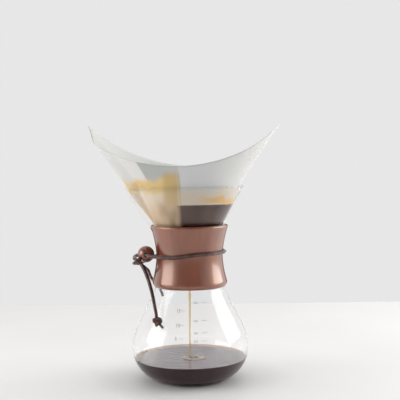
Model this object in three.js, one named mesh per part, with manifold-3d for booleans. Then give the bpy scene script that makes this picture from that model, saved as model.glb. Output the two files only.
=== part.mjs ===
// Hourglass pour-over coffee maker: a blown glass carafe with a pouring spout, a two-piece wooden collar held on its
// waist by a leather tie with a wooden bead, and a folded square paper filter with coffee brewing in it.
// Millimetres, +Z up. The origin is the centre of the glass base, +X is to the right and -Y to the front.
import * as THREE from "three";
import { ParametricGeometry } from "three/addons/geometries/ParametricGeometry.js";
import { mergeVertices } from "three/addons/utils/BufferGeometryUtils.js";
import Module from "manifold-3d";

const wasm = await Module();
wasm.setup();

const { cos, sin, tan, abs, min, max, exp, PI } = Math;
const TAU = 2 * PI;
const rad = THREE.MathUtils.degToRad;
const smooth = THREE.MathUtils.smoothstep;
const point = (x, y, z) => new THREE.Vector3(x, y, z);

// ---- Driving dimensions ----
const GAP = 0.35; // left between pieces that touch

// glass
const HEIGHT = 216;
const RIM_RADIUS = 62;
const WAIST_RADIUS = 30;
const WAIST_Z = 143;
const BULB_RADIUS = 65.8;
const BULB_Z = 38;
const BASE_RADIUS = 32;
const BOWL_POWER = 2.05; // how full the bowl is between its base and its widest ring
const WALL = 2.8;
const BASE_THICKNESS = 3.4;
const FLOOR_CORNER = 8; // width of the slope between the floor and the wall, inside
const FUNNEL_ANGLE = rad(28); // from the axis
const FUNNEL_BLEND_Z = 170; // where the straight funnel begins

// spout: a channel pressed out of the funnel, from the waist up to the rim
const SPOUT_AZIMUTH = rad(188);
const SPOUT_DEPTH_LOW = 6.3;
const SPOUT_DEPTH_RIM = 11.2;
const SPOUT_HALF_ANGLE_LOW = rad(11);
const SPOUT_HALF_ANGLE_RIM = rad(17);
const SPOUT_BOTTOM_Z = 145;
const SPOUT_FULL_Z = 168; // full collar depth from here up
const SPOUT_DIP = 1.6; // how far the lip dips below the rim

// wooden collar
const COLLAR_BOTTOM = 104.4;
const COLLAR_TOP = 173.7;
const COLLAR_WAIST_RADIUS = 37.6;
const COLLAR_WAIST_Z = 138;
const COLLAR_FOOT_RADIUS = 42.4;
const COLLAR_FOOT_Z = 109.5;
const COLLAR_LIP_RADIUS = 44;
const COLLAR_LIP_Z = 172;
const COLLAR_FLARE = 1.7; // power of the curve from the waist to both edges
const COLLAR_SLOT_SPOUT = rad(10.5); // half-angles of the two slots between the halves
const COLLAR_SLOT_FAR = rad(8);
const COLLAR_FAR_AZIMUTH = rad(354); // middle of the slot away from the spout

// leather tie and bead
const LACE = 3; // thickness of the leather lace
const BEAD_RADIUS = 9.4;
const BEAD_BORE = 2.15;
const BEAD_AT = point(-48.7, -5.1, 141);
const BEAD_TURN = rad(6); // the bore runs front to back, turned this far about Z
const KNOT_RADIUS = 4;
const KNOT_AT = point(-57.2, -13.6, 134.2);
const END_KNOT_RADIUS = 5;
const END_KNOT_AT = point(-34.6, -50.2, 73.2);

// paper filter: a square sheet folded in four, three layers on the spout side and one on the other
const SHEET_HALF = 152.4;
const PAPER_TURN = rad(-10); // the raised corners point right and left, turned this far about Z
const APEX_Z = 106.8;
const PAPER = 0.8; // wall of the folded paper, its layers taken together
const PAPER_CURL = 0.97; // length kept above the rim, where the free paper curls
const PAPER_CURL_SIDE = 0.03; // the far side curls this much more, the spout side this much less
const PAPER_FLARE = rad(8.8);
const PAPER_FLARE_SIDE = rad(3.2); // the spout side flares this much more, the far side this much less
const PAPER_FLARE_LENGTH = 23.5; // the free paper leans out within about this length
const PAPER_FLARE_LENGTH_SIDE = 11.5; // the spout side does so this much sooner, the far side this much later
const PAPER_IN_SPOUT = 0.92; // share of the spout's depth that the paper fills at the rim
const PAPER_CHANNEL = 92; // length of free paper over which the channel pressed into it dies away

// coffee
const GROUNDS_TOP = 171;
const BREW_TOP = 197;
const COFFEE_TOP = 24.4;

// ---- Glass ----

// Outer outline of the glass as (radius, height), from the edge of the base up to the rim.
function glassOutline() {
  const outline = [];
  const bowlSteps = 7;
  for (let i = 0; i < bowlSteps; i++) {
    const t = (i / bowlSteps) ** 1.6; // closer together where the bowl turns in to its base
    const swell = (1 - (1 - t) ** BOWL_POWER) ** (1 / BOWL_POWER);
    outline.push(new THREE.Vector2(BASE_RADIUS + (BULB_RADIUS - BASE_RADIUS) * swell, BULB_Z * t));
  }
  const shoulder = new THREE.CubicBezierCurve(
    new THREE.Vector2(BULB_RADIUS, BULB_Z),
    new THREE.Vector2(BULB_RADIUS, 68.5),
    new THREE.Vector2(WAIST_RADIUS, 97),
    new THREE.Vector2(WAIST_RADIUS, WAIST_Z),
  );
  outline.push(...shoulder.getPoints(9));
  const funnelFoot = HEIGHT - (RIM_RADIUS - WAIST_RADIUS) / tan(FUNNEL_ANGLE);
  const blend = new THREE.QuadraticBezierCurve(
    new THREE.Vector2(WAIST_RADIUS, WAIST_Z),
    new THREE.Vector2(WAIST_RADIUS, funnelFoot),
    new THREE.Vector2(funnelRadius(FUNNEL_BLEND_Z), FUNNEL_BLEND_Z),
  );
  outline.push(...blend.getPoints(4).slice(1));
  for (const z of [184, 200, HEIGHT]) outline.push(new THREE.Vector2(funnelRadius(z), z));
  return outline;
}

function funnelRadius(z) {
  return RIM_RADIUS - (HEIGHT - z) * tan(FUNNEL_ANGLE);
}

// The outline moved inwards by a distance, square to itself.
function inset(outline, distance) {
  return outline.map((p, i) => {
    const before = outline[max(i - 1, 0)];
    const after = outline[min(i + 1, outline.length - 1)];
    const along = after.clone().sub(before).normalize();
    return new THREE.Vector2(p.x - along.y * distance, p.y + along.x * distance);
  });
}

// Radius of an outline at a height.
function radiusAt(outline, z) {
  const i = outline.findIndex((p) => p.y >= z);
  if (i < 1) return outline[max(i, 0)].x;
  const low = outline[i - 1];
  const share = (z - low.y) / (outline[i].y - low.y);
  return low.x + (outline[i].x - low.x) * share;
}

// How far the spout bulges out of the round form at a height and azimuth.
function spoutBulge(z, azimuth) {
  const rise = smooth(z, SPOUT_FULL_Z, HEIGHT);
  const halfAngle = SPOUT_HALF_ANGLE_LOW + (SPOUT_HALF_ANGLE_RIM - SPOUT_HALF_ANGLE_LOW) * rise;
  const away = abs(fromSpout(azimuth)) / halfAngle;
  if (away >= 1) return 0;
  const straight = THREE.MathUtils.clamp((z - SPOUT_FULL_Z) / (HEIGHT - SPOUT_FULL_Z), 0, 1);
  const depth = SPOUT_DEPTH_LOW + (SPOUT_DEPTH_RIM - SPOUT_DEPTH_LOW) * straight;
  return depth * smooth(z, SPOUT_BOTTOM_Z, SPOUT_FULL_Z) * cos((away * PI) / 2) ** 1.5;
}

// Angle from the spout, from -PI to PI.
function fromSpout(azimuth) {
  return THREE.MathUtils.euclideanModulo(azimuth - SPOUT_AZIMUTH + PI, TAU) - PI;
}

// A closed surface round the Z axis. The outline starts and ends on the axis, and place() may move each of its points.
// The columns crowd together at one azimuth, on the spout's side, where the shapes change quickly.
function turned(outline, columns, place = (p) => p, crowdedAt = SPOUT_AZIMUTH) {
  const crowding = 0.5;
  const surface = new ParametricGeometry(
    (u, v, target) => {
      const turn = u * TAU;
      const azimuth = crowdedAt + turn - crowding * sin(turn);
      const p = place(outline[Math.round(v * (outline.length - 1))], azimuth);
      target.set(p.x * cos(azimuth), p.x * sin(azimuth), p.y);
    },
    columns,
    outline.length - 1,
  );
  return surface;
}

function glassCarafe() {
  const outer = glassOutline();
  const inner = inset(outer, WALL)
    .filter((p) => p.y > BASE_THICKNESS + 1)
    .reverse();
  const floorRadius = inner.at(-1).x - FLOOR_CORNER;
  const rim = new THREE.Vector2((RIM_RADIUS + inner[0].x) / 2 + 0.3, HEIGHT + 1);
  const outline = [
    new THREE.Vector2(0, 0),
    ...outer,
    rim,
    ...inner,
    new THREE.Vector2(floorRadius, BASE_THICKNESS),
    new THREE.Vector2(0, BASE_THICKNESS),
  ];
  return turned(outline, 52, (p, azimuth) => {
    const bulge = spoutBulge(p.y, azimuth);
    const dip = SPOUT_DIP * (bulge / SPOUT_DEPTH_RIM) * smooth(p.y, HEIGHT - 30, HEIGHT);
    return new THREE.Vector2(p.x + bulge, p.y - dip);
  });
}

// ---- Cutting and joining ----

function solidOf(geometry) {
  const plain = geometry.clone();
  plain.deleteAttribute("normal");
  plain.deleteAttribute("uv");
  const merged = mergeVertices(plain, 1e-3);
  return new wasm.Manifold(
    new wasm.Mesh({
      numProp: 3,
      vertProperties: new Float32Array(merged.attributes.position.array),
      triVerts: new Uint32Array(merged.index.array),
    }),
  );
}

function geometryOf(solid) {
  const mesh = solid.getMesh();
  return new THREE.BufferGeometry()
    .setAttribute("position", new THREE.BufferAttribute(new Float32Array(mesh.vertProperties), 3))
    .setIndex(new THREE.BufferAttribute(new Uint32Array(mesh.triVerts), 1));
}

// ---- Wooden collar ----

// Closed outline of the collar's section: up the waisted outside, over the lip, and down the inside along the glass.
function collarSection() {
  const rise = (z, edgeZ, edgeRadius) =>
    (edgeRadius - COLLAR_WAIST_RADIUS) * (abs(z - COLLAR_WAIST_Z) / abs(edgeZ - COLLAR_WAIST_Z)) ** COLLAR_FLARE;
  const outside = (z) =>
    COLLAR_WAIST_RADIUS +
    (z < COLLAR_WAIST_Z ? rise(z, COLLAR_FOOT_Z, COLLAR_FOOT_RADIUS) : rise(z, COLLAR_LIP_Z, COLLAR_LIP_RADIUS));
  const glass = glassOutline();
  const inside = (z) => radiusAt(glass, z) + GAP;
  const section = [
    new THREE.Vector2(COLLAR_FOOT_RADIUS - 1.4, COLLAR_BOTTOM),
    new THREE.Vector2(COLLAR_FOOT_RADIUS - 0.2, COLLAR_BOTTOM + 2),
  ];
  const rows = 9;
  for (let i = 0; i <= rows; i++) {
    const z = COLLAR_FOOT_Z + ((COLLAR_LIP_Z - COLLAR_FOOT_Z) * i) / rows;
    section.push(new THREE.Vector2(outside(z), z));
  }
  section.push(new THREE.Vector2(COLLAR_LIP_RADIUS - 0.8, COLLAR_TOP));
  for (let i = rows; i >= 0; i--) {
    const z = COLLAR_BOTTOM + ((COLLAR_TOP - COLLAR_BOTTOM) * i) / rows;
    section.push(new THREE.Vector2(inside(z), z));
  }
  section.push(section[0].clone());
  return section;
}

// A tall wedge round the Z axis between two azimuths.
function wedge(from, to) {
  const reach = 2 * COLLAR_LIP_RADIUS;
  const shape = new THREE.Shape().moveTo(0, 0).lineTo(reach * cos(from), reach * sin(from));
  const steps = 6;
  for (let i = 1; i <= steps; i++) {
    const a = from + ((to - from) * i) / steps;
    shape.lineTo(reach * cos(a), reach * sin(a));
  }
  return new THREE.ExtrudeGeometry(shape.closePath(), { depth: HEIGHT, bevelEnabled: false });
}

function collarHalf(from, to) {
  const ring = new THREE.LatheGeometry(collarSection(), 60).rotateX(PI / 2);
  return geometryOf(solidOf(ring).intersect(solidOf(wedge(from, to))));
}

// ---- Leather tie ----

// A lace along a smooth route through the points.
function lace(points, steps) {
  const section = new THREE.Shape();
  const sides = 8;
  for (let i = 0; i < sides; i++) {
    const a = ((i + 0.5) * TAU) / sides;
    const corner = [(LACE / 2) * cos(a), (LACE / 2) * sin(a)];
    if (i) section.lineTo(...corner);
    else section.moveTo(...corner);
  }
  const extrudePath = new THREE.CatmullRomCurve3(points, false, "centripetal");
  return new THREE.ExtrudeGeometry(section.closePath(), { steps, extrudePath });
}

// The tie from the knot through the bead, round the collar's waist and back to the knot.
const WRAP_RADIUS = COLLAR_WAIST_RADIUS + LACE / 2 + GAP + 0.35;
const WRAP_Z = 143.2; // at the back, the right and the front
const WRAP_LEFT_Z = 139.5; // where it leaves the collar for the bead
function tieWrap() {
  const bore = point(sin(BEAD_TURN), -cos(BEAD_TURN), 0);
  const onBore = (distance) => BEAD_AT.clone().addScaledVector(bore, distance);
  const round = [];
  const leave = rad(234);
  const arrive = rad(134 + 360);
  const stops = 12;
  for (let i = 0; i <= stops; i++) {
    const a = leave + ((arrive - leave) * i) / stops;
    const sag = 1 - smooth(min(a - leave, arrive - a), 0, rad(60));
    round.push(point(WRAP_RADIUS * cos(a), WRAP_RADIUS * sin(a), WRAP_Z + (WRAP_LEFT_Z - WRAP_Z) * sag));
  }
  return lace(
    [
      point(-59.8, -10.6, 135.6),
      point(-62.2, -4.5, 136.8),
      point(-60.3, 3.4, 138.6),
      point(-54.8, 8.6, 140.2),
      onBore(-11),
      onBore(-4),
      onBore(4),
      onBore(10.4),
      point(-42.4, -21.6, 140),
      ...round,
      point(-44.6, 15.4, 134.6),
      point(-51.6, 9.6, 131.4),
      point(-59.6, 3.2, 130.2),
      point(-62.6, -4.4, 130.8),
      point(-60.4, -10.6, 132.2),
    ],
    70,
  );
}

function tieBead() {
  const outline = [];
  const rows = 12;
  const mouth = Math.asin(BEAD_BORE / BEAD_RADIUS) * 1.25;
  for (let i = 0; i <= rows; i++) {
    const a = mouth + ((PI - 2 * mouth) * i) / rows;
    outline.push(new THREE.Vector2(BEAD_RADIUS * sin(a), -BEAD_RADIUS * cos(a)));
  }
  const boreEnd = outline[0].y + 0.5;
  outline.push(new THREE.Vector2(BEAD_BORE, -boreEnd), new THREE.Vector2(BEAD_BORE, boreEnd), outline[0].clone());
  return new THREE.LatheGeometry(outline, 20);
}

function tieKnot() {
  return new THREE.SphereGeometry(KNOT_RADIUS, 12, 8);
}

const LONG_TAIL = [
  point(-53.4, -15.4, 131),
  point(-51.2, -17.2, 127.3),
  point(-49.2, -19, 123.5),
  point(-47.5, -20.9, 119.7),
  point(-45.9, -22.8, 115.8),
  point(-44.4, -24.8, 111.9),
  point(-43.1, -26.9, 107.9),
  point(-41.9, -29, 104),
  point(-40.8, -31.2, 100.1),
  point(-39.8, -33.6, 96.2),
  point(-38.9, -36, 92.3),
  point(-38, -38.4, 88.4),
  point(-37.1, -40.8, 84.6),
  point(-36.2, -43.4, 80.9),
  point(-35.5, -46.3, 77.3),
];

const SHORT_TAIL = [
  point(-54.4, -11.2, 130.4),
  point(-51, -8.8, 127.6),
  point(-48.8, -5.1, 125.1),
  point(-47.2, -1, 122.6),
  point(-46.5, 3.1, 119.9),
  point(-46, 7.2, 117.1),
  point(-45.2, 11.3, 114.2),
  point(-44.1, 15.2, 111.3),
  point(-42.7, 19, 108.4),
  point(-41.1, 22.8, 105.5),
  point(-39.3, 26.3, 102.5),
  point(-37.5, 29.7, 99.3),
  point(-35.6, 32.8, 95.8),
  point(-34, 35.5, 91.9),
  point(-32.8, 37.8, 87.6),
];

// The stopper knot at the end of the long tail, with the cut end of the lace standing out of it.
function endKnot() {
  const ball = new THREE.SphereGeometry(END_KNOT_RADIUS, 12, 8).translate(...END_KNOT_AT.toArray());
  const out = point(0.62, -0.5, -0.6).normalize();
  const stubLength = 10;
  const stub = new THREE.CylinderGeometry(LACE / 2.4, LACE / 2.4, stubLength, 8);
  stub.applyQuaternion(new THREE.Quaternion().setFromUnitVectors(point(0, 1, 0), out));
  stub.translate(...END_KNOT_AT.clone().addScaledVector(out, stubLength / 2).toArray());
  return geometryOf(solidOf(ball).add(solidOf(stub)));
}

// ---- Paper filter ----

// Length of the folded sheet from its apex to its edge: shortest at the folds, front and back, longest at the corners.
function slantAt(azimuth) {
  const fromFold = Math.asin(min(1, abs(cos(azimuth - PAPER_TURN))));
  return SHEET_HALF / cos(fromFold / 2);
}

// Where the paper runs, as (radius, height) at a distance from the apex: straight in the funnel, flaring above the rim.
function paperAt(slant, azimuth) {
  const inFunnel = (HEIGHT - APEX_Z) / cos(FUNNEL_ANGLE);
  const low = min(slant, inFunnel);
  const farSide = cos(azimuth - PAPER_TURN); // 1 at the far corner, -1 at the corner over the spout
  const free = (slant - low) * (PAPER_CURL - PAPER_CURL_SIDE * farSide);
  const leaning = 1 - exp(-free / (PAPER_FLARE_LENGTH + PAPER_FLARE_LENGTH_SIDE * farSide));
  const angle = FUNNEL_ANGLE + (PAPER_FLARE - PAPER_FLARE_SIDE * farSide) * leaning;
  const z = APEX_Z + low * cos(FUNNEL_ANGLE) + free * cos(angle);
  const channel = max(0, 1 - (free / PAPER_CHANNEL) ** 2);
  const share = PAPER_IN_SPOUT * smooth(z, SPOUT_FULL_Z - 10, HEIGHT) * channel;
  return new THREE.Vector2(low * sin(FUNNEL_ANGLE) + free * sin(angle) + share * spoutBulge(min(z, HEIGHT), azimuth), z);
}

function filterPaper() {
  const rows = 10;
  const rowsInGlass = 5;
  const slantInGlass = (HEIGHT + 2 - APEX_Z) / cos(FUNNEL_ANGLE);
  const slantOf = (row, azimuth) =>
    row < rowsInGlass
      ? (slantInGlass * row) / rowsInGlass
      : slantInGlass + ((slantAt(azimuth) - slantInGlass) * (row - rowsInGlass)) / (rows - rowsInGlass);
  const outline = []; // (row, inwards offset) and not yet a place
  for (let i = 0; i <= rows; i++) outline.push(new THREE.Vector2(i, 0));
  for (let i = rows; i >= 0; i--) outline.push(new THREE.Vector2(i, 1));
  const lift = PAPER / sin(FUNNEL_ANGLE);
  const place = (p, azimuth) => {
    const q = paperAt(slantOf(p.x, azimuth), azimuth);
    if (p.y === 0) return q;
    return p.x === 0 ? new THREE.Vector2(0, q.y + lift) : new THREE.Vector2(q.x - min(PAPER, q.x / 2), q.y);
  };
  return turned(outline, 52, place, PI + PAPER_TURN); // a column falls on each of the two raised corners
}

// Radius inside the paper at a height.
function insidePaper(z) {
  return (z - APEX_Z) * tan(FUNNEL_ANGLE) - PAPER - GAP - 0.15;
}

// ---- Coffee ----

function coffeeGrounds() {
  const foot = APEX_Z + (PAPER + 2 * GAP) / sin(FUNNEL_ANGLE);
  return turned(
    [
      new THREE.Vector2(0, foot),
      new THREE.Vector2(insidePaper(GROUNDS_TOP) / 2, (foot + GROUNDS_TOP) / 2),
      new THREE.Vector2(insidePaper(GROUNDS_TOP), GROUNDS_TOP),
      new THREE.Vector2(0, GROUNDS_TOP),
    ],
    24,
  );
}

function brewingCoffee() {
  const foot = GROUNDS_TOP + GAP;
  return turned(
    [
      new THREE.Vector2(0, foot),
      new THREE.Vector2(insidePaper(foot), foot),
      new THREE.Vector2(insidePaper(BREW_TOP), BREW_TOP),
      new THREE.Vector2(0, BREW_TOP),
    ],
    24,
  );
}

function brewedCoffee() {
  const inner = inset(glassOutline(), WALL + GAP);
  const foot = BASE_THICKNESS + GAP;
  const side = inner.filter((p) => p.y > foot + 1.5 && p.y < COFFEE_TOP - 1);
  return turned(
    [
      new THREE.Vector2(0, foot),
      new THREE.Vector2(side[0].x - FLOOR_CORNER - 1, foot),
      ...side,
      new THREE.Vector2(radiusAt(inner, COFFEE_TOP), COFFEE_TOP),
      new THREE.Vector2(0, COFFEE_TOP),
    ],
    36,
  );
}

// ---- Assembly ----

const material = (color, roughness, metalness = 0) => new THREE.MeshStandardMaterial({ color, roughness, metalness });
const glass = material(0xe8eeee, 0.05);
const wood = material(0xa9694f, 0.25);
const darkWood = material(0x5e2a22, 0.25);
const leather = material(0x6b4438, 0.6);
const paper = material(0xe4e2da, 0.85);
const grounds = material(0x2c1b14, 0.9);
const coffee = material(0x2a1413, 0.1);

const group = new THREE.Group();
function add(name, geometry, skin) {
  const mesh = new THREE.Mesh(geometry, skin);
  mesh.name = name;
  group.add(mesh);
  return mesh;
}

add("glass_carafe", glassCarafe(), glass);
const frontSpan = [SPOUT_AZIMUTH + COLLAR_SLOT_SPOUT, COLLAR_FAR_AZIMUTH - COLLAR_SLOT_FAR];
const rearSpan = [COLLAR_FAR_AZIMUTH + COLLAR_SLOT_FAR, SPOUT_AZIMUTH + TAU - COLLAR_SLOT_SPOUT];
add("collar_front", collarHalf(...frontSpan), wood);
add("collar_rear", collarHalf(...rearSpan), wood);

add("tie_wrap", tieWrap(), leather);
const bead = add("tie_bead", tieBead(), darkWood);
bead.position.copy(BEAD_AT);
bead.rotation.set(0, 0, BEAD_TURN);
add("tie_knot", tieKnot(), leather).position.copy(KNOT_AT);
add("tie_long_tail", lace(LONG_TAIL, 24), leather);
add("tie_end_knot", endKnot(), leather);
add("tie_short_tail", lace(SHORT_TAIL, 26), leather);

add("filter_paper", filterPaper(), paper);
add("coffee_grounds", coffeeGrounds(), grounds);
add("brewing_coffee", brewingCoffee(), coffee);
add("brewed_coffee", brewedCoffee(), coffee);

export default group;
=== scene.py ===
# Looks for the hourglass pour-over coffee maker: clear glass, a lacquered wooden collar, a leather tie with
# its bead, a folded paper filter and the coffee. Metres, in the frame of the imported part.
import math

import bpy
from mathutils import Matrix, Vector


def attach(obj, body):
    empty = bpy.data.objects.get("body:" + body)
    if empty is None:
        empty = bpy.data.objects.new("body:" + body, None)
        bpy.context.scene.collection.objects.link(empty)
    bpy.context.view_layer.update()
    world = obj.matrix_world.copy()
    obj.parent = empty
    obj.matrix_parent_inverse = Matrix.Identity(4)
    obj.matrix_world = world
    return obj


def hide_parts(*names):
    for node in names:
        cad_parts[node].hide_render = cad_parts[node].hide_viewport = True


TAU = 2 * math.pi
MM = 0.001

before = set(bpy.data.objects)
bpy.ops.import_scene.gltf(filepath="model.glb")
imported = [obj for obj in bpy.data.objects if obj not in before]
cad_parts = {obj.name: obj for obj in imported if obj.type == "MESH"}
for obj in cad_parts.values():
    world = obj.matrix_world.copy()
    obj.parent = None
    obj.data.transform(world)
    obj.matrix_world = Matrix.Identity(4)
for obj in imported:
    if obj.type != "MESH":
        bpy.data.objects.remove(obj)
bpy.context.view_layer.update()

# ---- Camera ----

LENS = 74.1
SENSOR_WIDTH = 36
CAMERA_AT = (0.0125, -0.926, 0.237)
CAMERA_DOWN = math.radians(2.226)
CAMERA_ROLL = math.radians(-0.6)

camera = bpy.data.objects.new("camera", bpy.data.cameras.new("camera"))
bpy.context.scene.collection.objects.link(camera)
camera.data.lens = LENS
camera.data.sensor_width = SENSOR_WIDTH
camera.location = CAMERA_AT
upright = Matrix.Rotation(math.pi / 2 - CAMERA_DOWN, 3, "X")
camera.rotation_euler = (upright @ Matrix.Rotation(CAMERA_ROLL, 3, "Z")).to_euler()
bpy.context.scene.camera = camera

# ---- Small tools ----


def smooth(x, low, high):
    t = min(max((x - low) / (high - low), 0), 1)
    return t * t * (3 - 2 * t)


def mix(a, b, t):
    return a + (b - a) * t


def srgb(r, g, b):
    """A linear colour from 0..255 screen values."""
    return [((c / 255) ** 2.2) for c in (r, g, b)] + [1]


def mesh_object(name, points, faces, smooth_faces=True):
    mesh = bpy.data.meshes.new(name)
    mesh.from_pydata([tuple(p) for p in points], [], faces)
    mesh.validate()
    mesh.polygons.foreach_set("use_smooth", [smooth_faces] * len(mesh.polygons))
    mesh.update()
    made = bpy.data.objects.new(name, mesh)
    bpy.context.scene.collection.objects.link(made)
    return made


def on_body(piece, body, material, slot, *nodes):
    piece.data.materials.clear()
    piece.data.materials.append(material)
    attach(piece, body)
    if nodes:
        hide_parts(*nodes)
    return piece


def turned_object(name, outline, columns, place):
    """A surface round the Z axis from (radius, height) rows. A row with radius 0 closes on the axis."""
    points, faces, rings = [], [], []
    for p in outline:
        if p[0] == 0:
            x, y, z = place(p, 0)
            rings.append([len(points)])
            points.append((x, y, z))
            continue
        rings.append(list(range(len(points), len(points) + columns)))
        for i in range(columns):
            points.append(place(p, TAU * i / columns))
    for low, high in zip(rings, rings[1:]):
        for i in range(columns):
            j = (i + 1) % columns
            if len(low) == 1:
                faces.append((low[0], high[j], high[i]))
            elif len(high) == 1:
                faces.append((low[i], low[j], high[0]))
            else:
                faces.append((low[i], low[j], high[j], high[i]))
    return mesh_object(name, points, faces)


def cubic(p0, p1, p2, p3, steps):
    out = []
    for i in range(steps + 1):
        t = i / steps
        w = ((1 - t) ** 3, 3 * (1 - t) ** 2 * t, 3 * (1 - t) * t * t, t**3)
        out.append(tuple(sum(w[k] * p[a] for k, p in enumerate((p0, p1, p2, p3))) for a in (0, 1)))
    return out


def catmull(points, per_span):
    """A smooth line through the points."""
    p = [Vector(q) for q in points]
    p = [p[0] * 2 - p[1]] + p + [p[-1] * 2 - p[-2]]
    out = []
    for i in range(1, len(p) - 2):
        for k in range(per_span):
            t = k / per_span
            a, b, c, d = p[i - 1 : i + 3]
            bend = (2 * a - 5 * b + 4 * c - d) * t * t + (3 * b - a - 3 * c + d) * t**3
            out.append(0.5 * (2 * b + (c - a) * t + bend))
    out.append(p[-2])
    return out


# ---- Materials ----


class Nodes:
    """A node material whose main shader is `shader`."""

    def __init__(self, name):
        self.material = bpy.data.materials.new(name)
        self.material.use_nodes = True
        self.tree = self.material.node_tree
        self.shader = self.tree.nodes["Principled BSDF"]
        self.coords = self.new("ShaderNodeTexCoord").outputs["Object"]

    def new(self, kind, **settings):
        node = self.tree.nodes.new(kind)
        for key, value in settings.items():
            setattr(node, key, value)
        return node

    def link(self, source, target):
        self.tree.links.new(source, target)

    def set(self, **values):
        for key, value in values.items():
            self.shader.inputs[key.replace("_", " ")].default_value = value

    def scaled(self, x, y, z):
        mapping = self.new("ShaderNodeMapping")
        mapping.inputs["Scale"].default_value = (x, y, z)
        self.link(self.coords, mapping.inputs["Vector"])
        return mapping.outputs["Vector"]

    def noise(self, scale, detail=3, vector=None, rough=0.5):
        node = self.new("ShaderNodeTexNoise")
        node.inputs["Scale"].default_value = scale
        node.inputs["Detail"].default_value = detail
        node.inputs["Roughness"].default_value = rough
        self.link(vector or self.coords, node.inputs["Vector"])
        return node.outputs["Fac"]

    def ramp(self, source, *stops):
        node = self.new("ShaderNodeValToRGB")
        while len(node.color_ramp.elements) < len(stops):
            node.color_ramp.elements.new(0.5)
        for element, (at, color) in zip(node.color_ramp.elements, stops):
            element.position = at
            element.color = color if hasattr(color, "__len__") else (color, color, color, 1)
        self.link(source, node.inputs["Fac"])
        return node.outputs["Color"]

    def math(self, operation, a, b=0.0):
        node = self.new("ShaderNodeMath", operation=operation)
        for slot, value in zip(node.inputs, (a, b)):
            if isinstance(value, (int, float)):
                slot.default_value = value
            else:
                self.link(value, slot)
        return node.outputs[0]

    def times(self, *values):
        out = values[0]
        for value in values[1:]:
            out = self.math("MULTIPLY", out, value)
        return out

    def band(self, value, start, end, kind="SMOOTHSTEP"):
        """0 at start, 1 at end."""
        node = self.new("ShaderNodeMapRange", interpolation_type=kind)
        node.inputs["From Min"].default_value = start
        node.inputs["From Max"].default_value = end
        self.link(value, node.inputs["Value"])
        return node.outputs[0]

    def blend(self, share, a, b):
        node = self.new("ShaderNodeMix", data_type="RGBA")
        for slot, value in ((node.inputs[0], share), (node.inputs[6], a), (node.inputs[7], b)):
            if isinstance(value, (int, float)) or hasattr(value, "__len__"):
                slot.default_value = value
            else:
                self.link(value, slot)
        return node.outputs[2]

    def axis(self, which):
        node = self.new("ShaderNodeSeparateXYZ")
        self.link(self.coords, node.inputs[0])
        return node.outputs[which]

    def bump(self, height, strength, distance):
        node = self.new("ShaderNodeBump")
        node.inputs["Strength"].default_value = strength
        node.inputs["Distance"].default_value = distance
        self.link(height, node.inputs["Height"])
        self.link(node.outputs["Normal"], self.shader.inputs["Normal"])
        return node.outputs["Normal"]

    def color(self, source):
        self.link(source, self.shader.inputs["Base Color"])

    def rough(self, source, low, high):
        node = self.new("ShaderNodeMapRange")
        node.inputs["To Min"].default_value = low
        node.inputs["To Max"].default_value = high
        self.link(source, node.inputs["Value"])
        self.link(node.outputs[0], self.shader.inputs["Roughness"])


def glass_material():
    """Thin clear glass: it hardly bends what is seen through it, and its coat gives the reflections."""
    m = Nodes("clear_glass")
    m.set(Transmission_Weight=1.0, IOR=1.018, Roughness=0.0)
    m.set(Coat_Weight=0.8, Coat_IOR=1.42, Coat_Roughness=0.07)
    # blown glass is never quite even
    normal = m.bump(m.noise(22, 1), 0.03, 0.002)
    m.link(normal, m.shader.inputs["Coat Normal"])
    m.color(m.ramp(m.noise(9, 2), (0.35, (0.99, 0.995, 0.993, 1)), (0.65, (1, 1, 1, 1))))
    return m.material


def wood_material(name, dark, light):
    m = Nodes(name)
    grain = m.noise(60, 5, m.scaled(1.6, 1.6, 0.12), 0.6)
    pores = m.noise(420, 2, m.scaled(1.5, 1.5, 0.06))
    base = m.ramp(grain, (0.3, dark), (0.75, light))
    m.color(m.blend(m.ramp(pores, (0.32, 0.18), (0.45, 0.0)), base, dark))
    m.rough(grain, 0.28, 0.4)
    m.set(Coat_Weight=1.0, Coat_Roughness=0.15, Coat_IOR=1.5)
    m.set(IOR=1.7, Specular_IOR_Level=1.0, Specular_Tint=(1.0, 0.68, 0.5, 1))
    m.bump(pores, 0.06, 0.0004)
    return m.material


def leather_material():
    m = Nodes("leather_lace")
    fibre = m.noise(900, 4, None, 0.7)
    patch = m.noise(130, 3)
    base = m.ramp(fibre, (0.3, srgb(34, 17, 16)), (0.7, srgb(64, 34, 31)))
    m.color(m.blend(m.ramp(patch, (0.35, 0.0), (0.7, 0.5)), base, srgb(134, 92, 82)))
    m.rough(fibre, 0.28, 0.5)
    m.set(Coat_Weight=0.5, Coat_Roughness=0.25)
    m.bump(fibre, 0.35, 0.0004)
    return m.material


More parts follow.
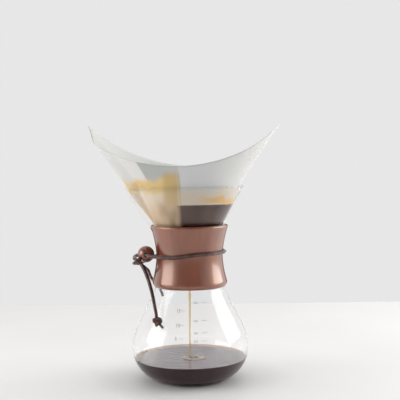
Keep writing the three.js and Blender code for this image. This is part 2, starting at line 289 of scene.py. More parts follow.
def paper_material():
    """Bleached paper, stained by position: soaked at the spout's side. Shade is painted in by position too:
    greyer on the front panel and past the fold, and dark where the brew behind would show through.
    """
    m = Nodes("filter_paper")
    band, times = m.band, m.times
    x, z = m.axis(0), m.axis(2)
    azimuth = m.math("ARCTAN2", m.axis(1), x)
    # ARCTAN2 gives -pi to pi, so the folds at the front are a whole turn lower there
    crease, fold, edge = CREASE - TAU, FRONT_FOLD - TAU, 0.01
    left, right = band(x, -0.006, -0.016), band(x, 0.004, 0.03)
    not_left = m.math("SUBTRACT", 1.0, left)

    wobble = times(m.math("SUBTRACT", m.noise(30, 3), 0.5), 0.018)
    streaks = times(m.math("SUBTRACT", m.noise(70, 3, m.scaled(1, 1, 0.12)), 0.5), 0.012)
    level = m.math("ADD", m.math("ADD", z, wobble), streaks)
    fibre = m.noise(700, 3, None, 0.6)
    color = m.ramp(fibre, (0.3, srgb(214, 215, 212)), (0.7, srgb(226, 226, 223)))

    # painted shade: the front panel between the crease and the fold is darker, and the far side a little past
    # the fold greyer, where the paper faces the dim front of the room
    shaded_front_panel = times(band(azimuth, crease - 0.012, crease + 0.012), band(azimuth, fold + edge, fold - edge))
    shaded_past_fold = times(band(azimuth, fold - edge, fold + edge), band(azimuth, -0.5, -1.35))
    color = m.blend(shaded_front_panel, color, srgb(184, 187, 184))
    color = m.blend(times(shaded_past_fold, 0.8), color, srgb(212, 215, 215))

    # the spout's side is soaked up past the glass's rim, and the far side not quite so high
    soaked_left = times(left, band(level, 0.226, 0.21))
    soaked = m.math("ADD", soaked_left, times(not_left, band(level, 0.222, 0.206)))
    color = m.blend(times(soaked, 0.85), color, srgb(226, 210, 186))

    # tide marks: along the spout's side, in a run beside the fold, and over the brew at the far side
    spout_edge = times(left, band(level, 0.229, 0.222), band(level, 0.208, 0.214))
    splash = m.ramp(m.noise(34, 2), (0.36, 0.45), (0.55, 1.0))
    color = m.blend(times(spout_edge, splash), color, srgb(222, 192, 134))
    run = times(band(x, -0.03, -0.022), band(x, -0.006, -0.014))
    run = times(run, band(level, 0.19, 0.205), band(level, 0.235, 0.226))
    color = m.blend(times(run, 0.8), color, srgb(196, 168, 116))
    far_edge = times(right, band(level, 0.207, 0.2025), band(level, 0.196, 0.1985))
    color = m.blend(far_edge, color, srgb(232, 190, 128))

    # painted shade: below the brew's surface the dark brew behind is painted into the single layer, and three
    # layers only tan, partly their real coffee stain and partly the brew's shade painted through
    under = band(m.math("ADD", z, times(wobble, 0.12)), 0.1980, 0.1966)
    through_noise = m.noise(45, 3, m.scaled(1, 1, 0.25))
    through = m.ramp(through_noise, (0.35, srgb(92, 68, 58)), (0.7, srgb(62, 44, 38)))
    color = m.blend(times(under, not_left), color, through)
    color = m.blend(times(band(level, 0.216, 0.176), left, 0.8), color, srgb(214, 180, 138))

    # painted shade: the brew behind is painted in grey-brown beside the fold, where it shows through the
    # paper
    brewed = times(band(x, -0.05, -0.012), left, band(level, 0.206, 0.186))
    shade_noise = m.noise(60, 2, m.scaled(1, 1, 0.15))
    shade = m.ramp(shade_noise, (0.4, srgb(128, 104, 82)), (0.65, srgb(182, 160, 130)))
    m.color(m.blend(times(brewed, 0.75), color, shade))
    m.set(Roughness=0.9, Specular_IOR_Level=0.2)
    m.bump(m.noise(60, 2), 0.05, 0.0002)
    return m.material


def coffee_material():
    """The dark body of the coffee, a little red where it thins towards the bottom."""
    m = Nodes("brewed_coffee")
    low = m.band(m.axis(2), 0.012, 0.0, "LINEAR")
    deep = m.ramp(m.noise(25, 3), (0.3, srgb(40, 20, 20)), (0.7, srgb(54, 30, 30)))
    m.color(m.blend(low, deep, srgb(66, 22, 24)))
    m.set(Roughness=0.3, Specular_IOR_Level=0.2)
    return m.material


def surface_material(rim):
    """The coffee's surface: it mirrors the room, with a pale tan reflection of the bright room painted along
    the wall at the back.
    """
    m = Nodes("coffee_surface")
    x, y = m.axis(0), m.axis(1)
    radius = m.math("SQRT", m.math("ADD", m.times(x, x), m.times(y, y)))
    # painted reflection: pale tan near the wall, on the far side only
    share = m.times(m.band(radius, rim * 0.78, rim), m.band(y, -0.01, 0.045, "LINEAR"))
    swirl_noise = m.noise(38, 4, m.scaled(1, 1.6, 1), 0.6)
    swirl = m.ramp(swirl_noise, (0.35, srgb(58, 34, 42)), (0.65, srgb(88, 58, 68)))
    m.color(m.blend(share, swirl, srgb(226, 190, 160)))
    m.set(Roughness=0.12, IOR=1.4, Coat_Weight=0.5, Coat_Roughness=0.05, Coat_IOR=1.4)
    m.bump(m.noise(85, 4, m.scaled(1, 1.8, 1), 0.6), 0.22, 0.004)
    return m.material


def grounds_material(name, dark, light):
    m = Nodes(name)
    grit = m.noise(900, 4, None, 0.8)
    m.color(m.ramp(grit, (0.35, dark), (0.7, light)))
    m.rough(grit, 0.4, 0.8)
    m.bump(grit, 0.6, 0.0008)
    return m.material


def print_material():
    m = Nodes("grey_print")
    m.color(m.ramp(m.noise(800, 2), (0.3, srgb(140, 142, 148)), (0.7, srgb(165, 167, 172))))
    m.set(Roughness=0.6)
    return m.material


glass = glass_material()
wood = wood_material("lacquered_wood", srgb(98, 40, 24), srgb(132, 62, 40))
bead_wood = wood_material("dark_lacquered_wood", srgb(84, 22, 18), srgb(122, 40, 32))
leather = leather_material()

# ---- Glass ----

GLASS_RIM_Z = 216 * MM
RIM_RADIUS = 62 * MM
WAIST_RADIUS = 30 * MM
WAIST_Z = 143 * MM
BULB_RADIUS = 65.8 * MM
BULB_Z = 38 * MM
BASE_RADIUS = 32 * MM
BOWL_POWER = 2.05
WALL = 1.9 * MM
BASE_THICKNESS = 3.4 * MM
FUNNEL = math.radians(28)
BLEND_Z = 170 * MM
SPOUT = math.radians(188)
SPOUT_DEPTH_RIM = 11.2 * MM
SPOUT_FULL_Z = 168 * MM


def funnel_radius(z):
    return RIM_RADIUS - (GLASS_RIM_Z - z) * math.tan(FUNNEL)


def glass_outline():
    outline = []
    steps = 18
    for i in range(steps):
        t = (i / steps) ** 2
        swell = (1 - (1 - t) ** BOWL_POWER) ** (1 / BOWL_POWER)
        outline.append((BASE_RADIUS + (BULB_RADIUS - BASE_RADIUS) * swell, BULB_Z * t))
    outline += cubic(
        (BULB_RADIUS, BULB_Z),
        (BULB_RADIUS, 68.5 * MM),
        (WAIST_RADIUS, 97 * MM),
        (WAIST_RADIUS, WAIST_Z),
        28,
    )
    foot = GLASS_RIM_Z - (RIM_RADIUS - WAIST_RADIUS) / math.tan(FUNNEL)
    a, b, c = (WAIST_RADIUS, WAIST_Z), (WAIST_RADIUS, foot), (funnel_radius(BLEND_Z), BLEND_Z)
    for i in range(1, 13):
        t = i / 12
        outline.append(tuple((1 - t) ** 2 * a[k] + 2 * (1 - t) * t * b[k] + t * t * c[k] for k in (0, 1)))
    for i in range(1, 11):
        z = mix(BLEND_Z, GLASS_RIM_Z, i / 10)
        outline.append((funnel_radius(z), z))
    return outline


def inset(outline, distance):
    out = []
    for i, p in enumerate(outline):
        a, b = outline[max(i - 1, 0)], outline[min(i + 1, len(outline) - 1)]
        along = Vector((b[0] - a[0], b[1] - a[1])).normalized()
        out.append((p[0] - along.y * distance, p[1] + along.x * distance))
    return out


def radius_at(outline, z):
    for a, b in zip(outline, outline[1:]):
        if b[1] >= z:
            return mix(a[0], b[0], (z - a[1]) / max(b[1] - a[1], 1e-9))
    return outline[-1][0]


def spout_bulge(z, azimuth):
    rise = smooth(z, SPOUT_FULL_Z, GLASS_RIM_Z)
    half_angle = math.radians(mix(11, 17, rise))
    away = abs((azimuth - SPOUT + math.pi) % TAU - math.pi) / half_angle
    if away >= 1:
        return 0
    straight = min(max((z - SPOUT_FULL_Z) / (GLASS_RIM_Z - SPOUT_FULL_Z), 0), 1)
    depth = mix(6.3 * MM, SPOUT_DEPTH_RIM, straight)
    return depth * smooth(z, 145 * MM, SPOUT_FULL_Z) * math.cos(away * math.pi / 2) ** 1.5


def place_glass(p, azimuth):
    # the columns crowd together at the spout
    azimuth = SPOUT + azimuth - 0.5 * math.sin(azimuth)
    bulge = spout_bulge(p[1], azimuth) if p[0] > 0 else 0
    dip = 1.6 * MM * bulge / SPOUT_DEPTH_RIM * smooth(p[1], GLASS_RIM_Z - 30 * MM, GLASS_RIM_Z)
    r = p[0] + bulge
    return (r * math.cos(azimuth), r * math.sin(azimuth), p[1] - dip)


outer = glass_outline()
inner = [p for p in inset(outer, WALL) if p[1] > BASE_THICKNESS + 1 * MM][::-1]
lip_middle = (outer[-1][0] + inner[0][0]) / 2
lip_half = (outer[-1][0] - inner[0][0]) / 2
lip = []
for i in range(1, 6):
    a = math.pi * i / 6
    lip.append((lip_middle + lip_half * math.cos(a), GLASS_RIM_Z + 1.2 * MM * math.sin(a)))
floor_radius = inner[-1][0]
floor_curve = cubic(
    inner[-1],
    (floor_radius - 1.5 * MM, inner[-1][1] - 0.7 * MM),
    (floor_radius - 3 * MM, BASE_THICKNESS),
    (floor_radius - 6 * MM, BASE_THICKNESS),
    4,
)[1:]
base_edge = (BASE_RADIUS - 1.2 * MM, 0.0)
carafe = turned_object(
    "glass_carafe_blown",
    [(0, 0), (BASE_RADIUS / 2, 0), base_edge, *outer, *lip, *inner, *floor_curve, (0, BASE_THICKNESS)],
    160,
    place_glass,
)
on_body(carafe, "carafe", glass, "glass", "glass_carafe")

# ---- Volume marks printed on the glass: plain ticks and round numbers ----

ink = print_material()


def printed(name, flat_points, faces, azimuth, z):
    """Lays flat (x, y) drawing points on the front of the glass at an azimuth and height."""
    placed = []
    for px, py in flat_points:
        height = z + py
        r = radius_at(outer, height) + 0.12 * MM
        a = azimuth + px / r
        placed.append((r * math.cos(a), r * math.sin(a), height))
    mark = mesh_object(name, placed, faces, False)
    return on_body(mark, "carafe", ink, "glass")


def number_mark(name, text, size, azimuth, z):
    curve = bpy.data.curves.new(name, "FONT")
    curve.body = text
    curve.size = size
    curve.resolution_u = 3
    flat = bpy.data.objects.new(name, curve)
    drawn = bpy.data.meshes.new_from_object(flat)
    bpy.data.objects.remove(flat)
    points = [(v.co.x, v.co.y) for v in drawn.vertices]
    faces = [tuple(f.vertices) for f in drawn.polygons]
    bpy.data.meshes.remove(drawn)
    return printed(name, points, faces, azimuth, z)


def tick(name, length, azimuth, z, width=0.35 * MM):
    steps = 8
    points = [(length * i / steps, side * width / 2) for i in range(steps + 1) for side in (-1, 1)]
    faces = [(2 * i, 2 * i + 2, 2 * i + 3, 2 * i + 1) for i in range(steps)]
    return printed(name, points, faces, azimuth, z)


for k, (z, text) in enumerate(((84, "15"), (69.5, "10"), (56.5, "5"))):
    z = z * MM
    start = -math.pi / 2 - (14.5 + 0.8 * k) * MM / radius_at(outer, z)
    number_mark(f"mark_left_{k}", text, 5.2 * MM, start, z - 1.8 * MM)
    tick(f"tick_left_{k}", 4.2 * MM, start + 5.2 * MM / radius_at(outer, z), z)
for k, (z, text) in enumerate(((92, "500"), (74, "400"), (62, "300"), (54, "200"))):
    z = z * MM
    start = -math.pi / 2 + 4.2 * MM / radius_at(outer, z)
    number_mark(f"mark_right_{k}", text, 3.2 * MM, start, z - 1.2 * MM)
    tick(f"tick_right_{k}", 6 * MM, start + 8.4 * MM / radius_at(outer, z), z)

# ---- Wooden collar ----

COLLAR_BOTTOM = 104.4 * MM
COLLAR_TOP = 173.7 * MM
COLLAR_WAIST = (37.6 * MM, 138 * MM)
COLLAR_FOOT = (42.4 * MM, 109.5 * MM)
COLLAR_LIP = (44 * MM, 172 * MM)


def collar_outside(z):
    edge = COLLAR_FOOT if z < COLLAR_WAIST[1] else COLLAR_LIP
    share = abs(z - COLLAR_WAIST[1]) / abs(edge[1] - COLLAR_WAIST[1])
    return COLLAR_WAIST[0] + (edge[0] - COLLAR_WAIST[0]) * min(share, 1.2) ** 1.7


def collar_section():
    """The section's closed outline, up the outside, over the rounded lip and down along the glass."""

    def inside(z):
        return radius_at(outer, z) + 0.35 * MM

    foot, lip_r = COLLAR_FOOT[0], COLLAR_LIP[0]
    section = []
    for i in range(6):  # round the bottom edge
        a = math.pi / 2 * i / 6
        height = COLLAR_BOTTOM + 5.1 * MM * (1 - math.cos(a)) ** 1.2
        section.append((foot - 3 * MM + 3 * MM * math.sin(a), height))
    rows = 26
    for i in range(rows + 1):
        z = mix(COLLAR_FOOT[1], COLLAR_LIP[1] - 1.2 * MM, i / rows)
        section.append((collar_outside(z), z))
    for i in range(1, 7):  # the lip
        a = math.pi * i / 7
        across = (lip_r - inside(COLLAR_TOP)) / 2
        height = COLLAR_LIP[1] - 0.9 * MM + 2.5 * MM * math.sin(a)
        section.append((lip_r - across + across * math.cos(a), height))
    for i in range(rows + 1):
        z = mix(COLLAR_TOP - 1.8 * MM, COLLAR_BOTTOM + 0.6 * MM, i / rows)
        section.append((inside(z), z))
    return section


def collar_half(name, start, end, node):
    section = collar_section()
    n = len(section)
    columns = 56
    points, faces = [], []
    for i in range(columns + 1):
        a = mix(start, end, i / columns)
        points += [(r * math.cos(a), r * math.sin(a), z) for r, z in section]
    for i in range(columns):
        for k in range(n):
            j = (k + 1) % n
            faces.append((i * n + k, (i + 1) * n + k, (i + 1) * n + j, i * n + j))
    faces.append(tuple(range(n)))
    faces.append(tuple(columns * n + k for k in reversed(range(n))))
    half = mesh_object(name, points, faces)
    bevel = half.modifiers.new("edges", "BEVEL")
    bevel.width = 0.9 * MM
    bevel.segments = 3
    bevel.limit_method = "ANGLE"
    bevel.angle_limit = math.radians(50)
    return on_body(half, "carafe", wood, "wood", node)


spout_slot, far_slot, far = math.radians(10.5), math.radians(8), math.radians(354)
collar_half("collar_front_turned", SPOUT + spout_slot, far - far_slot, "collar_front")
collar_half("collar_rear_turned", far + far_slot, SPOUT + TAU - spout_slot, "collar_rear")

# ---- Leather tie ----

LACE = 3 * MM


def strip(name, line, width, thickness, twist=0.0):
    """A leather strip of rounded rectangular section along a line, turned by twist radians on its way."""
    corner = 0.28
    rounding = corner / 2
    section = []
    for sx, sy in ((1, 1), (-1, 1), (-1, -1), (1, -1)):
        for k in range(3):
            a = math.atan2(sy, sx) + (k - 1) * math.pi / 5
            cx, cy = sx * (0.5 - rounding), sy * (0.5 - rounding)
            across, up = cx + rounding * math.cos(a) * 1.1, cy + rounding * math.sin(a) * 1.1
            section.append((across * width, up * thickness))
    n = len(section)
    points, faces = [], []
    side = None
    for i, p in enumerate(line):
        along = (line[min(i + 1, len(line) - 1)] - line[max(i - 1, 0)]).normalized()
        if side is None:
            side = along.cross(Vector((0, 0, 1)))
            if side.length < 0.1:
                side = along.cross(Vector((1, 0, 0)))
        side = (side - along * side.dot(along)).normalized()
        turn = twist * i / (len(line) - 1)
        u = math.cos(turn) * side + math.sin(turn) * along.cross(side)
        v = along.cross(u)
        points += [p + u * a + v * b for a, b in section]
    for i in range(len(line) - 1):
        for k in range(n):
            j = (k + 1) % n
            faces.append((i * n + k, i * n + j, (i + 1) * n + j, (i + 1) * n + k))
    faces.append(tuple(reversed(range(n))))
    faces.append(tuple((len(line) - 1) * n + k for k in range(n)))
    return mesh_object(name, points, faces)


def in_metres(points):
    return [Vector(p) * MM for p in points]


BEAD_AT = Vector((-48.7, -5.1, 141)) * MM
BEAD_TURN = math.radians(6)
BORE = Vector((math.sin(BEAD_TURN), -math.cos(BEAD_TURN), 0))


def on_bore(distance):
    return BEAD_AT / MM + BORE * distance


WRAP_GAP = 0.7
WRAP_RADIUS = (COLLAR_WAIST[0] + LACE / 2) / MM + WRAP_GAP
around = []
leave, arrive = math.radians(234), math.radians(134 + 360)
for i in range(13):
    a = mix(leave, arrive, i / 12)
    sag = 1 - smooth(min(a - leave, arrive - a), 0, math.radians(60))
    around.append((WRAP_RADIUS * math.cos(a), WRAP_RADIUS * math.sin(a), 143.2 - 3.7 * sag))
WRAP = [
    (-59.8, -10.6, 135.6),
    (-62.2, -4.5, 136.8),
    (-60.3, 3.4, 138.6),
    (-54.8, 8.6, 140.2),
    on_bore(-11),
    on_bore(-4),
    on_bore(4),
    on_bore(10.4),
    (-42.4, -21.6, 140),
    *around,
    (-44.6, 15.4, 134.6),
    (-51.6, 9.6, 131.4),
    (-59.6, 3.2, 130.2),
    (-62.6, -4.4, 130.8),
    (-60.4, -10.6, 132.2),
]
wrap = strip("tie_wrap_lace", catmull(in_metres(WRAP), 10), LACE, LACE)
on_body(wrap, "carafe", leather, "leather", "tie_wrap")

# The tails' routes in millimetres, sampled evenly from smooth curves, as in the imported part.
LONG_TAIL = [
    (-53.4, -15.4, 131),
    (-51.2, -17.2, 127.3),
    (-49.2, -19, 123.5),
    (-47.5, -20.9, 119.7),
    (-45.9, -22.8, 115.8),
    (-44.4, -24.8, 111.9),
    (-43.1, -26.9, 107.9),
    (-41.9, -29, 104),
    (-40.8, -31.2, 100.1),
    (-39.8, -33.6, 96.2),
    (-38.9, -36, 92.3),
    (-38, -38.4, 88.4),
    (-37.1, -40.8, 84.6),
    (-36.2, -43.4, 80.9),
    (-35.5, -46.3, 77.3),
]
SHORT_TAIL = [
    (-54.4, -11.2, 130.4),
    (-51, -8.8, 127.6),
    (-48.8, -5.1, 125.1),
    (-47.2, -1, 122.6),
    (-46.5, 3.1, 119.9),
    (-46, 7.2, 117.1),
    (-45.2, 11.3, 114.2),
    (-44.1, 15.2, 111.3),
    (-42.7, 19, 108.4),
    (-41.1, 22.8, 105.5),
    (-39.3, 26.3, 102.5),
    (-37.5, 29.7, 99.3),
    (-35.6, 32.8, 95.8),
    (-34, 35.5, 91.9),
    (-32.8, 37.8, 87.6),
]


def knot_line(centre, size, tilt, turn):
    """The closed line of a tight overhand knot."""
    spin = Matrix.Rotation(turn, 3, "Z") @ Matrix.Rotation(tilt, 3, "X")
    out = []
    for i in range(73):
        t = TAU * i / 72
        x, y = math.sin(t) + 2 * math.sin(2 * t), math.cos(t) - 2 * math.cos(2 * t)
        out.append(centre + spin @ (Vector((x, y, -1.25 * math.sin(3 * t))) * size / 3))
    return out


hitch_at = Vector((-57.2, -13.6, 134.2)) * MM
hitch_line = knot_line(hitch_at, 2.7 * MM, math.radians(75), math.radians(25))
hitch = strip("tie_hitch", hitch_line, LACE * 0.95, LACE * 0.8)
on_body(hitch, "carafe", leather, "leather", "tie_knot")

end_at = Vector((-34.6, -50.2, 73.2)) * MM
end_line = knot_line(end_at, 4.3 * MM, math.radians(62), math.radians(-25))
end_knot = strip("tie_end_knot_lace", end_line, LACE * 0.95, LACE * 0.8)
on_body(end_knot, "long_tail", leather, "leather", "tie_end_knot")
out_of_knot = Vector((0.62, -0.5, -0.6)).normalized()
stub_line = [end_at + out_of_knot * d * MM for d in (0, 3, 6, 8.5, 10)]
stub = strip("tie_end_stub", stub_line, LACE * 0.7, LACE * 0.6)
on_body(stub, "long_tail", leather, "leather")


def length_of(line):
    return sum((b - a).length for a, b in zip(line, line[1:]))


def tail(name, points, body, node, twist):
    line = catmull(in_metres(points), 6)
    piece = strip(name, line, LACE * 1.05, LACE * 0.95, twist)
    on_body(piece, body, leather, "leather", node)
    tuple(line[0])
    length_of(line)
    [tuple(p) for p in line]


tail("tie_long_tail_lace", LONG_TAIL, "long_tail", "tie_long_tail", math.radians(40))
tail("tie_short_tail_lace", SHORT_TAIL, "short_tail", "tie_short_tail", math.radians(30))

# ---- Bead ----

BEAD_RADIUS = 9.4 * MM
BEAD_BORE = 2.15 * MM
profile = []
mouth = math.asin(BEAD_BORE / BEAD_RADIUS) * 1.35
for i in range(33):
    a = mouth + (math.pi - 2 * mouth) * i / 32
    profile.append((BEAD_RADIUS * math.sin(a), -BEAD_RADIUS * math.cos(a)))
rounding = profile[0][1]
profile += [(BEAD_BORE * 1.12, -rounding - 0.2 * MM), (BEAD_BORE, -rounding - 0.8 * MM)]
profile += [(BEAD_BORE, rounding + 0.8 * MM), (BEAD_BORE * 1.12, rounding + 0.2 * MM)]
points, faces = [], []
count = len(profile)
turn_bead = Matrix.Rotation(BEAD_TURN, 3, "Z") @ Matrix.Rotation(math.pi / 2, 3, "X")
for i in range(48):
    a = TAU * i / 48
    points += [BEAD_AT + turn_bead @ Vector((r * math.cos(a), r * math.sin(a), h)) for r, h in profile]
    for k in range(count):
        j, n = (k + 1) % count, (i + 1) % 48
        faces.append((i * count + k, n * count + k, n * count + j, i * count + j))
bead = mesh_object("tie_bead_turned", points, faces)
on_body(bead, "bead", bead_wood, "dark_wood", "tie_bead")

# ---- Paper filter ----

SHEET_HALF = 152.4 * MM
APEX_Z = 106.8 * MM
PAPER_TURN = math.radians(-10)
PLY = 0.18 * MM
CLING = 2.2 * MM
FRONT_FOLD = math.radians(261)
REAR_FOLD = math.radians(81)
CREASE = math.radians(226)


def slant_at(azimuth):
    from_fold = math.asin(min(1, abs(math.cos(azimuth - PAPER_TURN))))
    return SHEET_HALF / math.cos(from_fold / 2)


def paper_at(slant, azimuth):
    """(radius, height) of the paper's outside at a distance from its apex."""
    in_funnel = (GLASS_RIM_Z - APEX_Z) / math.cos(FUNNEL)
    low = min(slant, in_funnel)
    far_side = math.cos(azimuth - PAPER_TURN)
    free = (slant - low) * (0.97 - 0.03 * far_side)
    flare = math.radians(8.8) - math.radians(3.2) * far_side
    angle = FUNNEL + flare * (1 - math.exp(-free / ((23.5 + 11.5 * far_side) * MM)))
    z = APEX_Z + low * math.cos(FUNNEL) + free * math.cos(angle)
    share = smooth(z, SPOUT_FULL_Z - 10 * MM, GLASS_RIM_Z) * max(0, 1 - (free / (92 * MM)) ** 2)
    bulge = share * spout_bulge(min(z, GLASS_RIM_Z), azimuth)
    r = low * math.sin(FUNNEL) + free * math.sin(angle) + bulge
    # wet paper clings to the glass, as if it had sunk into the wall
    r += CLING * smooth(z, 140 * MM, 165 * MM) * (1 - smooth(z, GLASS_RIM_Z - 8 * MM, GLASS_RIM_Z + 6 * MM))
    # above the rim the stiff three layers stand in a flat panel between a crease and the front fold
    if CREASE < azimuth < FRONT_FOLD:
        half = (FRONT_FOLD - CREASE) / 2
        chord = math.cos(half) / math.cos(azimuth - CREASE - half)
        r *= mix(1, chord, smooth(z, GLASS_RIM_Z - 2 * MM, GLASS_RIM_Z + 14 * MM))
    return r, z


def ripple(slant, azimuth):
    """Wet paper wrinkles a little down its height, and the free part waves."""
    high = smooth(slant, 70 * MM, 150 * MM) * min(1, 2 * abs(math.sin(azimuth - PAPER_TURN)))
    fine = math.sin(azimuth * 11 + slant / (14 * MM)) * 0.05 * MM
    wave = math.sin(azimuth * 5 + 0.8) * 0.35 * MM * smooth(slant, 128 * MM, 170 * MM)
    return (fine + wave) * high


def ply(points, faces, stops, depth, rows):
    """Adds one layer of paper through azimuth stops, and returns the number of its first point."""
    base = len(points)
    azimuths = []
    for start, end in zip(stops, stops[1:]):
        steps = max(round(math.degrees(end - start) / 1.3), 1)
        azimuths += [mix(start, end, i / steps) for i in range(steps)]
    azimuths.append(stops[-1])
    columns = len(azimuths) - 1
    for azimuth in azimuths:
        reach = slant_at(azimuth)
        for k in range(rows + 1):
            slant = reach * (0.02 + 0.98 * k / rows)
            r, z = paper_at(slant, azimuth)
            r = max(r - depth - ripple(slant, azimuth) * (1 if r > 20 * MM else 0), 0.2 * MM)
            points.append((r * math.cos(azimuth), r * math.sin(azimuth), z))
    for i in range(columns):
        for k in range(rows):
            a = base + i * (rows + 1) + k
            faces.append((a, a + rows + 1, a + rows + 2, a + 1))
    return base


points, faces = [], []
rows = 44
corner = math.pi + PAPER_TURN
spout_side = [REAR_FOLD, corner, CREASE, FRONT_FOLD]
# one ply all the way round
ply(points, faces, spout_side + [corner + math.pi, REAR_FOLD + TAU], 0.62 * MM, rows)
# two more on the spout's side, joined by the fold at the front
third = ply(points, faces, spout_side, 0.4 * MM, rows)
fourth = ply(points, faces, spout_side, 0.16 * MM, rows)
third_edge, fourth_edge = fourth - rows - 1, len(points) - rows - 1
for k in range(rows):
    faces.append((third_edge + k, fourth_edge + k, fourth_edge + k + 1, third_edge + k + 1))
filter_sheet = mesh_object("filter_paper_folded", points, faces)
paper = paper_material()
thicken = filter_sheet.modifiers.new("paper", "SOLIDIFY")
thicken.thickness = PLY
thicken.offset = 0
on_body(filter_sheet, "filter", paper, "paper", "filter_paper")

# ---- Coffee ----

BREW_TOP = 197 * MM
COFFEE_TOP = 24.4 * MM


BREW_GAP = 1.3 * MM  # from the paper's outside, its packed wall of 0.8 mm included


def inside_paper(z):
    return (z - APEX_Z) * math.tan(FUNNEL) - BREW_GAP


def round_place(p, azimuth):
    return (p[0] * math.cos(azimuth), p[0] * math.sin(azimuth), p[1])


def brew_place(p, azimuth):
    # slow swells on the surface
    x, y, z = round_place(p, azimuth)
    if z > BREW_TOP - 1 * MM:
        z += 0.25 * MM * math.sin(x * 330 + 1) * math.cos(y * 290)
        z -= 0.3 * MM
    return (x, y, z)


brew_foot = 171.35 * MM
rim = inside_paper(BREW_TOP)
brew_outline = [(0, brew_foot), (inside_paper(brew_foot), brew_foot)]
brew_outline += [(inside_paper(z * MM), z * MM) for z in (176, 182, 188, 193, 196.4)]
brew_outline += [(rim * s, BREW_TOP) for s in (0.985, 0.93, 0.85, 0.75, 0.64, 0.52, 0.4, 0.28, 0.15, 0)]
brew = turned_object("brewing_coffee_liquid", brew_outline, 72, brew_place)


def froth_material():
    """Wet grounds and tan froth afloat on the brew."""
    m = Nodes("brew_froth")
    cells = m.new("ShaderNodeTexVoronoi")
    cells.inputs["Scale"].default_value = 330
    m.link(m.coords, cells.inputs["Vector"])
    bubbles = m.ramp(cells.outputs["Distance"], (0.05, 1.0), (0.5, 0.0))
    patches = m.ramp(m.noise(55, 3), (0.45, 0.0), (0.62, 0.85))
    wet = m.ramp(m.noise(500, 3), (0.3, srgb(34, 20, 16)), (0.7, srgb(66, 42, 32)))
    foam = m.blend(bubbles, srgb(176, 134, 92), srgb(214, 184, 140))
    m.color(m.blend(patches, wet, foam))
    m.rough(patches, 0.12, 0.55)
    m.bump(cells.outputs["Distance"], 0.3, 0.0006)
    return m.material


on_body(brew, "filter", froth_material(), "coffee", "brewing_coffee")
for material_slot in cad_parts["coffee_grounds"].material_slots:
    material_slot.material = grounds_material("wet_grounds", srgb(24, 15, 12), srgb(64, 42, 32))

# coffee behind glass looks nearly as wide as the glass, so it is drawn out into the wall
coffee_skin = inset(outer, 0.9 * MM)
coffee_wall = [p for p in coffee_skin if 3.4 * MM < p[1] < COFFEE_TOP - 0.8 * MM]
coffee_rim = radius_at(coffee_skin, COFFEE_TOP)
coffee_foot = coffee_wall[0][0]
coffee_outline = [(0, 1.2 * MM), (coffee_foot - 8 * MM, 1.2 * MM), (coffee_foot - 3 * MM, 1.9 * MM)]
coffee_outline += coffee_wall + [(coffee_rim, COFFEE_TOP)]
# the surface: a small meniscus at the wall, and rings where the stream falls in
coffee_outline += [(coffee_rim - d * MM, COFFEE_TOP) for d in (0.5, 1.2, 2.4, 4.5)]
ring_steps = 60
for i in range(ring_steps + 1):
    coffee_outline.append(((coffee_rim - 6 * MM) * (1 - i / ring_steps), COFFEE_TOP))


def coffee_place(p, azimuth):
    x, y, z = round_place(p, azimuth)
    if p[1] == COFFEE_TOP:
        to_wall = coffee_rim - p[0]
        z -= 0.5 * MM * (1 - math.exp(-to_wall / (0.9 * MM)))
        z += 0.28 * MM * math.cos(p[0] / (1.1 * MM)) * math.exp(-p[0] / (14 * MM))
        z += 0.1 * MM * math.sin(x * 210 + y * 60) * smooth(to_wall, 0, 10 * MM)
    return (x, y, z)


pool = turned_object("brewed_coffee_liquid", coffee_outline, 96, coffee_place)
on_body(pool, "carafe", coffee_material(), "coffee", "brewed_coffee")
pool.data.materials.append(surface_material(coffee_rim))
for face in pool.data.polygons:
    face.material_index = 1 if face.normal.z > 0.5 else 0


def bubble(name, x, y, r):
    """A small bubble dome afloat on the coffee."""
    outline = [(r * math.cos(math.pi / 2 * k / 5), r * 0.6 * math.sin(math.pi / 2 * k / 5)) for k in range(5)]
    outline.append((0, r * 0.6))

    def place(p, azimuth):
        return (x + p[0] * math.cos(azimuth), y + p[0] * math.sin(azimuth), COFFEE_TOP - 0.45 * MM + p[1])

    return on_body(turned_object(name, outline, 16, place), "carafe", froth, "coffee")


def bubble_material():
    m = Nodes("coffee_bubble")
    m.color(m.ramp(m.noise(600, 2), (0.3, srgb(190, 166, 144)), (0.7, srgb(232, 218, 200))))
    m.set(Roughness=0.1, IOR=1.33, Transmission_Weight=0.3, Coat_Weight=1.0)
    return m.material


froth = bubble_material()
number = 0
for ring, count, size in ((0.96, 17, 1.5), (0.915, 9, 1.2)):
    for i in range(count):
        # a clump at the wall on the spout's side
        a = math.radians(176 + (i - count / 2) * 3.3 + 2 * math.sin(i * 2.7))
        r = coffee_rim * ring - abs(math.sin(i * 1.9)) * 2 * MM
        grown = size * MM * (0.7 + 0.5 * abs(math.sin(i * 5.1)))
        bubble(f"bubble_{number}", r * math.cos(a), r * math.sin(a), grown)
        number += 1
for i in range(34):
    # froth drifts in a loose ring in front of the stream
    a, r = i * 2.4, (5.5 + 3.5 * abs(math.sin(i * 1.3))) * MM
    size = (1.1 + 0.9 * abs(math.sin(i * 3.3))) * MM
    bubble(f"bubble_{number}", 4 * MM + 1.3 * r * math.cos(a), r * math.sin(a) - 9 * MM, size)
    number += 1


def stream_material():
    m = Nodes("coffee_stream")
    drawn_out = m.noise(140, 2, m.scaled(1, 1, 0.3))
    m.color(m.ramp(drawn_out, (0.3, srgb(240, 210, 150)), (0.7, srgb(250, 230, 186))))
    m.set(Roughness=0.15, IOR=1.1, Transmission_Weight=0.75)
    return m.material


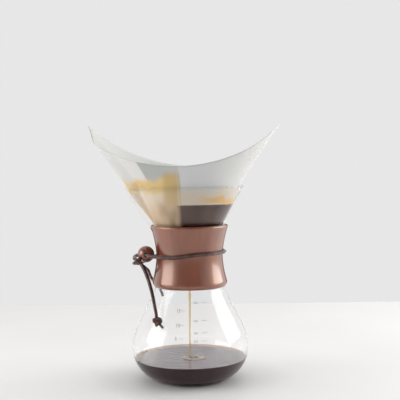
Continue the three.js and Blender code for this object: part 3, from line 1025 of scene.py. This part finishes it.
# the thin thread of coffee falling from the filter's tip
thread = [(-0.4 * MM, 0, z * MM) for z in range(107, 23, -3)]
outline_points, faces = [], []
for i, (x, y, z) in enumerate(thread):
    r = mix(1.4, 0.8, smooth(i, 0, 20)) * MM * (1 + 0.1 * math.sin(i * 1.7))
    for k in range(12):
        a = TAU * k / 12
        outline_points.append((x + r * math.cos(a) + 0.15 * MM * math.sin(i / 5), y + r * math.sin(a), z))
for i in range(len(thread) - 1):
    for k in range(12):
        j = (k + 1) % 12
        faces.append((i * 12 + k, (i + 1) * 12 + k, (i + 1) * 12 + j, i * 12 + j))
faces.append(tuple(range(12)))
faces.append(tuple((len(thread) - 1) * 12 + k for k in reversed(range(12))))
stream = mesh_object("coffee_stream", outline_points, faces)
on_body(stream, "filter", stream_material(), "coffee")

# ---- Floor, light ----


def floor_material():
    m = Nodes("pale_table")
    m.color(m.ramp(m.noise(6, 2), (0.3, srgb(236, 234, 233)), (0.7, srgb(240, 238, 237))))
    m.set(Roughness=0.45, Specular_IOR_Level=0.3)
    return m.material


FLOOR_REACH = 6
FLOOR_BACK = 0.505
floor_corners = [
    (-FLOOR_REACH, -FLOOR_REACH, 0),
    (FLOOR_REACH, -FLOOR_REACH, 0),
    (FLOOR_REACH, FLOOR_BACK, 0),
    (-FLOOR_REACH, FLOOR_BACK, 0),
]
floor = mesh_object("floor", floor_corners, [(0, 1, 2, 3)], False)
floor.data.materials.append(floor_material())


def softbox(name, place, size, power, target=(0, 0, 0.12)):
    lamp = bpy.data.lights.new(name, "AREA")
    lamp.shape = "RECTANGLE"
    lamp.size, lamp.size_y = size
    lamp.energy = power
    box = bpy.data.objects.new(name, lamp)
    bpy.context.scene.collection.objects.link(box)
    box.location = place
    box.rotation_euler = (Vector(target) - Vector(place)).to_track_quat("-Z", "Y").to_euler()


softbox("right_softbox", (1.0, 0.2, 0.45), (0.8, 0.6), 6)
softbox("left_softbox", (-1.0, -0.25, 0.45), (0.8, 0.6), 4.6)
softbox("top_softbox", (0.0, 0.25, 1.5), (1.3, 1.1), 3.5)

ROOM_FRONT = (0.31, 0.31, 0.315, 1)
ROOM_BACK = (0.8, 0.8, 0.805, 1)
ROOM_SIDES = (0.9, 0.89, 0.88, 1)


def studio_world():
    """A plain room, darker at the front than at the back, and brightest to the left and the right."""
    world = bpy.data.worlds.new("studio")
    world.use_nodes = True
    tree = world.node_tree
    where = tree.nodes.new("ShaderNodeTexCoord")
    split = tree.nodes.new("ShaderNodeSeparateXYZ")
    tree.links.new(where.outputs["Generated"], split.inputs[0])

    def band(value, start, end):
        node = tree.nodes.new("ShaderNodeMapRange")
        node.interpolation_type = "SMOOTHSTEP"
        node.inputs["From Min"].default_value = start
        node.inputs["From Max"].default_value = end
        tree.links.new(value, node.inputs["Value"])
        return node.outputs[0]

    depth = tree.nodes.new("ShaderNodeMix")
    depth.data_type = "RGBA"
    depth.inputs[6].default_value = ROOM_FRONT
    depth.inputs[7].default_value = ROOM_BACK
    tree.links.new(band(split.outputs[1], -0.55, 0.45), depth.inputs[0])
    sideways = tree.nodes.new("ShaderNodeMath")
    sideways.operation = "ABSOLUTE"
    tree.links.new(split.outputs[0], sideways.inputs[0])
    sides = tree.nodes.new("ShaderNodeMix")
    sides.data_type = "RGBA"
    sides.inputs[7].default_value = ROOM_SIDES
    tree.links.new(band(sideways.outputs[0], 0.5, 0.9), sides.inputs[0])
    tree.links.new(depth.outputs[2], sides.inputs[6])
    tree.links.new(sides.outputs[2], tree.nodes["Background"].inputs["Color"])
    return world


bpy.context.scene.world = studio_world()
bpy.context.scene.view_settings.view_transform = "Standard"
if hasattr(bpy.context.scene, "cycles"):  # light passes through several walls of glass
    bpy.context.scene.cycles.max_bounces = 20
    bpy.context.scene.cycles.glossy_bounces = 16
    bpy.context.scene.cycles.transmission_bounces = 20
